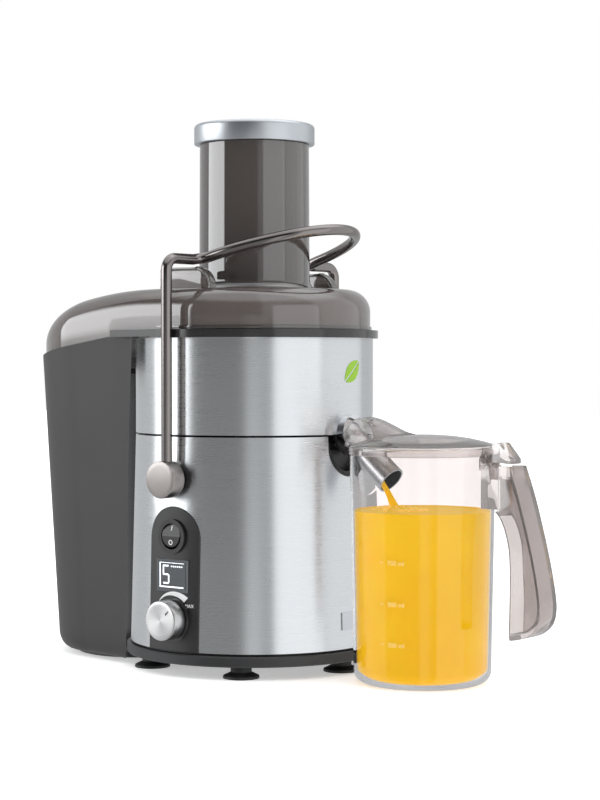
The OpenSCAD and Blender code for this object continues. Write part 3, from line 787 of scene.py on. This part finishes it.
def make_bin():
    levels = [0.0, 0.004, 0.01, 0.02, 0.035, 0.05, 0.08, 0.2, 0.35, 0.5, 0.65, 0.8, 0.9, 0.96, 1.0]
    outside = [bin_ring(level, 0.0, BIN_FLOOR) for level in levels]
    inside = [bin_ring(level, BIN_WALL, BIN_FLOOR + BIN_WALL) for level in levels]
    shell = piece("bin_shell", *loft(outside + inside[::-1]), BIN_GREY, "bin", "dark_plastic", ["pulp_bin"],
                  smooth=40)
    shell.visible_glossy = False
    foot = [(40, 0.2), (41, 0), (53, 0), (54, 0.6), (54, 3.4), (40, 3.4)]
    piece("bin_foot_ring", *turned(foot, (-BIN_X * MM, 0, 0), 96), BIN_GREY, "bin", "dark_plastic", smooth=40)


# ---------- jug ----------

JUG_X = 158.0
JUG_H = 169.0
JUG_LID_Z = 172.3
JUICE_Z = 123.6
POUR_X = 134.5
JUG_AXIS = (JUG_X * MM, 0, 0)


def jug_outer(z):
    """Outer radius of the jug's tapered wall at a height."""
    return 49.7 + 3.0 * (z - 12) / (JUG_H - 12)


def jug_point(r, angle, z):
    """A point round the jug's axis, in metres."""
    return ((JUG_X + r * math.cos(angle)) * MM, r * math.sin(angle) * MM, z * MM)


def make_jug():
    outer = [(0.01, 0.9), (36, 0.9), (37.2, 0.2), (38.6, 0), (40.5, 0)]
    outer += arc(40.2, 9.5, 9.5, -88, -4, 14)
    outer += [(jug_outer(z), z) for z in (14, 50, 90, 130, 150, 160, 167.6)]
    outer += arc(jug_outer(JUG_H) - 1.2, JUG_H - 1.2, 1.2, 0, 180, 8)
    inner = [(jug_outer(z) - 2.4, z) for z in (160, 150, 130, 90, 50, 14)]
    inner += arc(38.6, 11.8, 8.7, -4, -86, 12) + [(0.01, 3.2)]
    jug = piece("jug_wall", *turned(outer + inner, JUG_AXIS, 160), CLEAR, "jug", "clear_smoke", ["jug_body"],
                smooth=35)
    notch = arc(0, 148, 15, 180, 360, 24) + [(15, 200), (-15, 200)]
    cut(jug, slab(notch, 70, 130, "x"))
    soften(jug, 35)
    jug.visible_glossy = False
    for z, amount in ((90.1, "750"), (61.0, "500"), (32.5, "250")):
        make_jug_mark(z, amount)


def make_jug_mark(z, amount):
    """A short line and a number moulded on the jug's front."""
    low_r = jug_outer(z) + 0.02
    high_r = low_r + 0.25
    section = ((low_r, z), (high_r, z), (high_r, z + 0.6), (low_r, z + 0.6))
    turns = [math.radians(-90.0 + 2.4 * k / 6) for k in range(7)]
    dash = [[jug_point(r, t, h) for r, h in section] for t in turns]
    piece(f"jug_mark_{amount}", *loft(dash), MARK_PRINT, "jug", "clear_smoke")

    def on_wall(x, h, lift):
        r = jug_outer(z + h) + 0.03 + lift
        return jug_point(r, math.radians(-83.5) + x / 51.0, z + h - 1.4)

    lettering(f"jug_number_{amount}", amount + " ml", 4.6, MARK_PRINT, "jug", "clear_smoke", on_wall)


def pour_swell(from_pour):
    """How high the juice rises round the place where the stream falls in."""
    return 3.0 * math.exp(-(from_pour / 11) ** 2)


def make_juice():
    juice = orange_juice_painted_glow("orange_juice_painted_glow", JUICE_Z * MM, 0.003)
    make_juice_fill(juice)
    make_juice_foam()
    make_juice_stream(juice)


def make_juice_fill(juice):
    profile = [(0.01, 3.35), (38.6, 3.3)] + arc(38.6, 11.8, 8.55, -86, -4, 12)
    profile += [(jug_outer(z) - 2.5, z) for z in (14, 50, 90, 115)]
    edge_r = 49.3
    rings = []
    for k in range(160):
        a = math.tau * k / 160
        ring = [jug_point(r, a, z) for r, z in profile]
        for r in (edge_r, 47.5, 44, 40, 35, 30, 25, 20, 15, 10, 5, 0.01):
            from_pour = math.hypot(JUG_X + r * math.cos(a) - POUR_X, r * math.sin(a))
            ripple = 0.35 * math.cos(from_pour / 2.4) * math.exp(-from_pour / 24)
            creep = 0.8 * math.exp(-(edge_r - r) / 1.2)
            ring.append(jug_point(r, a, JUICE_Z + pour_swell(from_pour) + ripple + creep))
        rings.append(ring)
    verts, faces = loft(rings, closed_ends=False, wrap=True)
    fill = piece("juice_fill", verts, faces, juice, "jug", "clear_smoke", smooth=50)
    fill.visible_glossy = False


def make_juice_foam():
    """Small bubbles spread round the pour along a sunflower spiral, in a foam material with a painted glow.
    """
    golden_turn = 2.399963
    foam_x = 137.5
    rise = [math.radians(degrees) for degrees in (0, 25, 50, 75)]
    verts = []
    faces = []
    for k in range(46):
        turn = golden_turn * k
        away = 3.0 + 2.1 * math.sqrt(k) + 1.6 * math.sin(k * 5.1)
        x = foam_x + away * math.cos(turn) * 1.3
        y = away * math.sin(turn)
        r = 0.6 + 0.9 * abs(math.sin(k * 12.7))
        z = JUICE_Z + pour_swell(math.hypot(x - POUR_X, y)) + 0.1
        profile = [(0.001, -0.2)]
        profile += [(r * math.cos(t), r * 0.8 * math.sin(t)) for t in rise]
        profile += [(0.001, r * 0.8)]
        dome = turned(profile, (x * MM, y * MM, z * MM), 12)
        faces += [tuple(len(verts) + i for i in face) for face in dome[1]]
        verts += dome[0]
    foam = piece("juice_bubbles", verts, faces, FOAM_PAINTED_GLOW, "jug", "clear_smoke", smooth=80)
    foam.visible_glossy = False


def make_juice_stream(juice):
    """The stream from the spout, which flattens into the juice as the jug slides away."""
    path = ((120.6, 0, 143.4), (123.6, 0, 140.2), (127.0, 0.2, 135.6), (130.6, 0.1, 129.6), (134.2, 0, 122.8))
    fall = smooth_line([Vector(p) * MM for p in path], 5)
    turns = [math.tau * k / 20 for k in range(20)]
    rings = []
    for i, point in enumerate(fall):
        share = i / (len(fall) - 1)
        wide = (3.6 - 1.2 * share + 1.6 * share ** 6) * MM
        thick = (1.5 + 0.7 * share + 1.4 * share ** 6) * MM
        twist = 0.35 * math.sin(share * 5)
        rings.append([point + Vector((thick * math.cos(t + twist) * 0.9, wide * math.sin(t),
                                      thick * math.cos(t) * 0.5)) for t in turns])
    stream = piece("juice_stream", *loft(rings), juice, "jug", "clear_smoke", smooth=60)
    stream.visible_glossy = False
    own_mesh(stream)


def make_jug_handle():
    outer = smooth_line([(239, 158.6), (246.5, 138), (254, 112), (259.5, 90), (263.3, 70), (264, 58),
                         (261.2, 48.6), (254, 42), (246, 38.9), (239.4, 37.8)], 5)
    inner = smooth_line([(238.6, 41), (239.4, 70), (239, 96), (236.4, 110), (232, 121), (226, 128)], 5)
    outline = [tuple(p) for p in outer + inner] + [(213, 128), (213, 158.6)]
    handle = piece("jug_handle_channel", *slab(outline, -11, 11), CLEAR_GREY, "jug", "clear_smoke",
                   ["jug_handle"])
    back = smooth_line([(237.6, 151), (243.4, 136), (250.8, 111), (256.2, 90), (259.9, 70), (260.6, 59),
                        (258, 51), (251.6, 45.6), (244, 42.6), (224, 42.4)], 4)
    hollow = [tuple(p) for p in back] + [(224, 122), (230.5, 124), (230.5, 151)]
    cut(handle, slab(hollow, -8.4, 8.4))
    for side in (-1, 1):
        cut(handle, slab(box_outline(212, 127, 229.4, 159.6), side * 7.2, side * 12))
    tab_well = box_outline(221, 149, 238, 170)
    cut(handle, slab(tab_well, -7.5, 7.5))
    hinge_ear = arc(215.5, 162, 4.2, 0, 180, 14) + [(211.3, 155), (219.7, 155)]
    combine(handle, slab(hinge_ear, -7, 7))
    lid_slot = box_outline(203, 157, 229, 175)
    cut(handle, slab(lid_slot, -4.4, 4.4))
    heights = (100, 120, 140, 160, 170)
    against_jug = [(0.01, 100)] + [(jug_outer(z) + 0.05, z) for z in heights] + [(0.01, 170)]
    cut(handle, turned(against_jug, JUG_AXIS, 128))
    round_edges(handle, 0.7 * MM, 3, 35)


def arch_ring(x, half, rise, wall):
    """A C-shaped arch section across Y: over the outside and back along the inside."""
    base = JUG_H + 0.4
    turns = [math.radians(180 - 180 * k / 24) for k in range(25)]

    def bow(inset):
        return [((half - inset) * math.cos(t), base + (rise - inset) * math.sin(t) ** 0.8) for t in turns]

    return [(x * MM, y * MM, z * MM) for y, z in bow(0) + bow(wall)[::-1]]


def make_jug_lid():
    cover = make_jug_cover()
    hood_cut = [(90, -16.4), (124, -16.4), (134, -12), (134, 12), (124, 16.4), (90, 16.4)]
    cut(cover, slab(hood_cut, 150, 200, "z"))
    soften(cover, 35)
    stations = [(101.7, 18.8, 20.6), (103, 19, 20.9), (108, 19, 21.4), (113, 18.8, 21.2), (119, 18.4, 19.8),
                (126, 17.6, 17.2), (134, 16.2, 13.8), (142, 13.6, 11.0), (150, 9.0, 9.6)]
    rings = [arch_ring(x, half, rise, 2.0) for x, half, rise in stations]
    hood = piece("jug_cover_hood", *loft(rings), CLEAR_LID, "jug_lid", "clear_smoke", smooth=50)
    round_edges(hood, 0.4 * MM, 2, 50)
    make_thumb_tab()


def make_jug_cover():
    """The jug lid's domed disc with its hanging rim band."""
    z = JUG_LID_Z
    top = [(0.01, z + 6.4), (12, z + 6.2), (24, z + 5.3), (34, z + 3.9), (44, z + 1.7), (50, z + 0.1)]
    edge = [(52.6, z - 0.9), (53.7, z - 1.9), (54, z - 3), (53.8, JUG_H - 4.4), (53.1, JUG_H - 4.8),
            (53.0, JUG_H + 0.3), (51.5, JUG_H + 0.6), (51.2, z - 2)]
    under = [(44, z - 0.6), (34, z + 1.7), (24, z + 3.1), (12, z + 4), (0.01, z + 4.2)]
    return piece("jug_cover", *turned(top + edge + under, JUG_AXIS, 160), CLEAR_LID, "jug_lid", "clear_smoke",
                 ["jug_lid"], smooth=35)


def make_thumb_tab():
    """The tab that the thumb presses, with the neck and knuckle that join it to the hinge."""
    wedge = [(222.4, 161), (237.2, 160), (237.2, 163.4)] + arc(226.6, 172.6, 2, 40, 100, 5) + [(222.4, 174.5)]
    tab = piece("jug_cover_thumb_tab", *slab(wedge, -7, 7), CLEAR_LID, "jug_lid", "clear_smoke")
    neck = [(208.5, 165.8), (223, 166.4), (223, 170.6), (208.5, 170.6)]
    combine(tab, slab(neck, -4, 4))
    knuckle = arc(215.5, 162, 4, 180, 360, 14) + [(219.5, 168), (211.5, 168)]
    combine(tab, slab(knuckle, -4, 4))
    cut(tab, turned([(0.01, 150), (53.4, 150), (53.4, 190), (0.01, 190)], JUG_AXIS, 96))
    round_edges(tab, 0.8 * MM, 3, 35)


# ---------- controls and prints ----------

DIAL_Z = 42.0
DIAL_AT = Vector((0, -96.1, DIAL_Z)) * MM
SWITCH_AT = Vector((0, -88.9, 103.0)) * MM
GLASS_Y = -94.25
BAND_R = 91.05
LEAF_SCALE = 1.35


def panel_point(x, z, lift):
    """A point on the curved control panel, in metres, from millimetres across and up."""
    radius = 96 - 4 * (z - 19) / 157 + lift
    return (x * MM, -math.sqrt(radius ** 2 - x ** 2) * MM, z * MM)


def print_ring(point, near, far, low, high):
    """The section of a thin print between two places on a surface."""
    return [point(*near, low), point(*far, low), point(*far, high), point(*near, high)]


def make_dial_prints():
    """The swelling wedge round the dial, and the word at its end."""
    rings = []
    for k in range(41):
        t = math.radians(-48 + 90 * k / 40)
        far = 18.1 + 4.4 * k / 40
        near_point = (17.7 * math.sin(t), DIAL_Z + 17.7 * math.cos(t))
        far_point = (far * math.sin(t), DIAL_Z + far * math.cos(t))
        rings.append(print_ring(panel_point, near_point, far_point, 0.02, 0.14))
    piece("dial_wedge_print", *loft(rings), WHITE_PRINT, "base", "white_plastic")

    def over_dial(x, h, lift):
        return panel_point(x + 12.6, h + 51.6, lift)

    lettering("dial_max_print", "MAX", 3.5, WHITE_PRINT, "base", "white_plastic", over_dial)


def lit_bar(name, corners, material=LIT, lift=0.14):
    """A flat lit bar on the display's glass; the corners are (x, z, x, z) in millimetres."""
    bar = slab(box_outline(*corners), GLASS_Y - 0.12 - lift, GLASS_Y - lift)
    piece(name, *bar, material, "base", "display_face")


def make_display():
    """The display's glow, its frame of lines, a row of scale marks and one digit."""
    lit_bar("display_back_glow", (-13.6, 64.6, 13.2, 84.6), DIM, lift=0.0)
    lit_bar("display_left_line", (-12.2, 66.2, -11.2, 83.4))
    lit_bar("display_bottom_line", (-12.2, 65.2, 11.2, 66.2))
    lit_bar("display_top_line", (-12.2, 83.2, 11.8, 83.6))
    for k in range(6):
        lit_bar(f"display_scale_{k}", (-1.0 + 2.0 * k, 80.4, 0.2 + 2.0 * k, 81.4))
    strokes = [(-8.8, 80.6, -3.4, 81.8), (-9.0, 75.2, -7.8, 81.2), (-8.8, 74.2, -3.6, 75.4),
               (-3.8, 68.6, -2.6, 74.6), (-8.6, 67.8, -3.4, 69.0)]
    for k, corners in enumerate(strokes):
        lit_bar(f"display_digit_{k}", corners, lift=0.16)


def make_dial():
    """The spun metal knob with a groove that points to its setting."""
    profile = [(0.01, 11.4), (11, 11.4), (13.6, 11.38), (14.1, 11.25), (14.5, 10.9), (14.7, 10.3),
               (14.7, 0.8), (14.3, 0.3), (0.01, 0.3)]
    middle = Matrix.Translation(DIAL_AT)
    body = moved(turned(profile, steps=120), middle @ turn_about("X", 90))
    knob = piece("dial_knob_shell", *body, DIAL_FACE, "dial", "polished_steel", ["dial_knob"], smooth=30)
    groove = slab(arc(0, 7.6, 0.8, 180, 360, 8) + arc(0, 10.6, 0.8, 0, 180, 8), -13, -9.6)
    cut(knob, moved(groove, middle @ turn_about("Y", 47)))
    soften(knob, 30)


def make_switch_marks():
    """On and off marks on the two faces of the pressed rocker."""
    upper = Matrix.Translation(SWITCH_AT) @ turn_about("X", -16)
    stroke = slab(box_outline(-0.35, 2.4, 0.35, 6.2), -7.12, -6.95)
    piece("switch_on_mark", *moved(stroke, upper), WHITE_PRINT, "switch", "white_plastic")
    lower = Matrix.Translation(SWITCH_AT + Vector((0, -7.0, -4.4)) * MM) @ turn_about("X", 90)
    ring = turned([(1.3, 0), (1.9, 0), (1.9, 0.12), (1.3, 0.12)], steps=40)
    piece("switch_off_mark", *moved(ring, lower), WHITE_PRINT, "switch", "white_plastic", smooth=60)


def band_point(u, v, lift):
    """A point on the steel band over the spout, in metres, from the leaf's own millimetres."""
    a = math.radians(3.0) + LEAF_SCALE * u / 91.0
    r = BAND_R + lift
    return (r * math.cos(a) * MM, r * math.sin(a) * MM, (224 + LEAF_SCALE * v) * MM)


def make_leaf():
    """A plain leaf print in two halves on the steel band."""
    lean = 0.7

    def leaned(u, v):
        return (u * math.cos(lean) - v * math.sin(lean), u * math.sin(lean) + v * math.cos(lean))

    for name, side in (("leaf_print_upper", 1), ("leaf_print_lower", -1)):
        rings = []
        for k in range(25):
            t = k / 24
            along = -8.5 + 17 * t
            edge = 0.45 + 4.6 * math.sin(math.pi * t) ** 0.8
            near = leaned(along, side * 0.45)
            far = leaned(along, side * edge)
            rings.append(print_ring(band_point, near, far, 0, 0.12))
        piece(name, *loft(rings), LEAF_GREEN, "base", "white_plastic")


make_lid_shell()
make_chute_fillet()
make_lid_bead()
for lug_side in (-1, 1):
    make_lug(lug_side)
make_pusher_cap()
make_lock_arm()
make_bin()
make_jug()
make_juice()
make_jug_handle()
make_jug_lid()
make_dial_prints()
make_display()
make_dial()
make_switch_marks()
make_leaf()


# ---------- floor, light and camera ----------

CAMERA_AZIMUTH = 40.0
CAMERA_DISTANCE = 1.54
CAMERA_HEIGHT = 0.231
AIM_ASIDE = 0.035
AIM_HEIGHT = 0.2017
FLOOR_HALF = 6.0


def make_floor():
    """A pale floor that glows a little more the further it lies from the object."""
    finish = Finish("pale_floor", roughness=0.6, emission_strength=1.0)
    x, y = finish.parts(finish.place())[:2]
    cloud = finish.noise(finish.place(), 3.0, detail=2)
    away = ((x * x + y * y).math("SQRT") * 1.6 - 0.25).math("MINIMUM", 1.0).math("MAXIMUM", 0.0)
    finish.set(base_color=finish.mix(cloud, (0.93, 0.93, 0.93), (0.96, 0.96, 0.96)),
               emission_color=finish.mix(away, (0.42, 0.42, 0.42), (0.62, 0.62, 0.62)))
    mesh = bpy.data.meshes.new("floor")
    corners = [(u * FLOOR_HALF, v * FLOOR_HALF, 0) for u, v in ((-1, -1), (1, -1), (1, 1), (-1, 1))]
    mesh.from_pydata(corners, [], [(0, 1, 2, 3)])
    mesh.materials.append(finish.material)
    floor = bpy.data.objects.new("floor", mesh)
    floor.visible_glossy = False
    bpy.context.collection.objects.link(floor)


def make_room():
    """A studio of vertical screens round the object, white where the camera sees it directly."""
    world = bpy.data.worlds.new("studio")
    world.use_nodes = True
    bpy.context.scene.world = world
    room = Nodes(world.node_tree)
    backdrop = room.tree.nodes["Background"]
    x, y, z = room.parts(room.node("ShaderNodeTexCoord", output="Generated"))
    turn = math.radians(CAMERA_AZIMUTH)
    toward = x * math.sin(turn) + y * -math.cos(turn)
    aside = x * math.cos(turn) + y * math.sin(turn)
    around = aside.math("ARCTAN2", toward) * (180 / math.pi)

    def edge(value, low, high):
        inputs = {"Value": value, "From Min": low, "From Max": high}
        return room.node("ShaderNodeMapRange", {"interpolation_type": "SMOOTHSTEP"}, inputs)

    def screen(left, right, soft):
        return edge(around, left - soft, left + soft) * (1.0 - edge(around, right - soft, right + soft))

    high = edge(z, -0.01, 0.045)
    low = 1.0 - edge(z, 0.30, 0.50)
    overhead = edge(z, 0.55, 0.85)
    shade = (0.06
             + screen(-181, -114, 1.5) * 0.50
             + screen(-112, -66, 2) * (0.74 + high * 2.8) * low
             + screen(-68, -9, 7) * 0.30 * (1.0 - high)
             + screen(-9, 7, 5) * 0.8 * (1.0 - high)
             + screen(7, 128, 3) * 0.32
             + screen(18, 66, 2) * 0.75 * low
             + screen(66, 128, 8) * 0.5
             + screen(130, 181, 1.5) * 0.50
             + overhead * 0.9)
    colour = room.vector(shade * 0.985, shade, shade * 1.015)
    seen = room.node("ShaderNodeLightPath", output="Is Camera Ray")
    room.feed(backdrop.inputs["Color"], room.mix(seen, colour, (1.0, 1.0, 1.0)))
    backdrop.inputs["Strength"].default_value = 1.0


def softbox(name, azimuth, distance, height, width, tall, power):
    """A tall area light that faces the object's middle."""
    a = math.radians(azimuth)
    light = bpy.data.lights.new(name, "AREA")
    light.shape = "RECTANGLE"
    light.size = width
    light.size_y = tall
    light.energy = power
    lamp = bpy.data.objects.new(name, light)
    lamp.location = (math.sin(a) * distance, -math.cos(a) * distance, height)
    aim = Vector((0.03, 0, 0.2)) - lamp.location
    lamp.rotation_euler = aim.to_track_quat("-Z", "Y").to_euler()
    lamp.visible_glossy = False
    lamp.visible_transmission = False
    bpy.context.collection.objects.link(lamp)


def make_camera():
    a = math.radians(CAMERA_AZIMUTH)
    camera = bpy.data.cameras.new("camera")
    camera.sensor_width = 36
    camera.lens = 90
    view = bpy.data.objects.new("camera", camera)
    view.location = (math.sin(a) * CAMERA_DISTANCE, -math.cos(a) * CAMERA_DISTANCE, CAMERA_HEIGHT)
    target = Vector((math.cos(a) * AIM_ASIDE, math.sin(a) * AIM_ASIDE, AIM_HEIGHT))
    view.rotation_euler = (target - view.location).to_track_quat("-Z", "Y").to_euler()
    bpy.context.collection.objects.link(view)
    bpy.context.scene.camera = view


make_floor()
make_room()
softbox("left_softbox", -82, 1.6, 0.5, 0.6, 1.5, 11)
softbox("right_softbox", 92, 1.7, 0.5, 0.7, 1.5, 12)
softbox("top_softbox", 40, 0.9, 1.7, 1.2, 1.2, 6)
make_camera()
bpy.context.scene.view_settings.view_transform = "Standard"
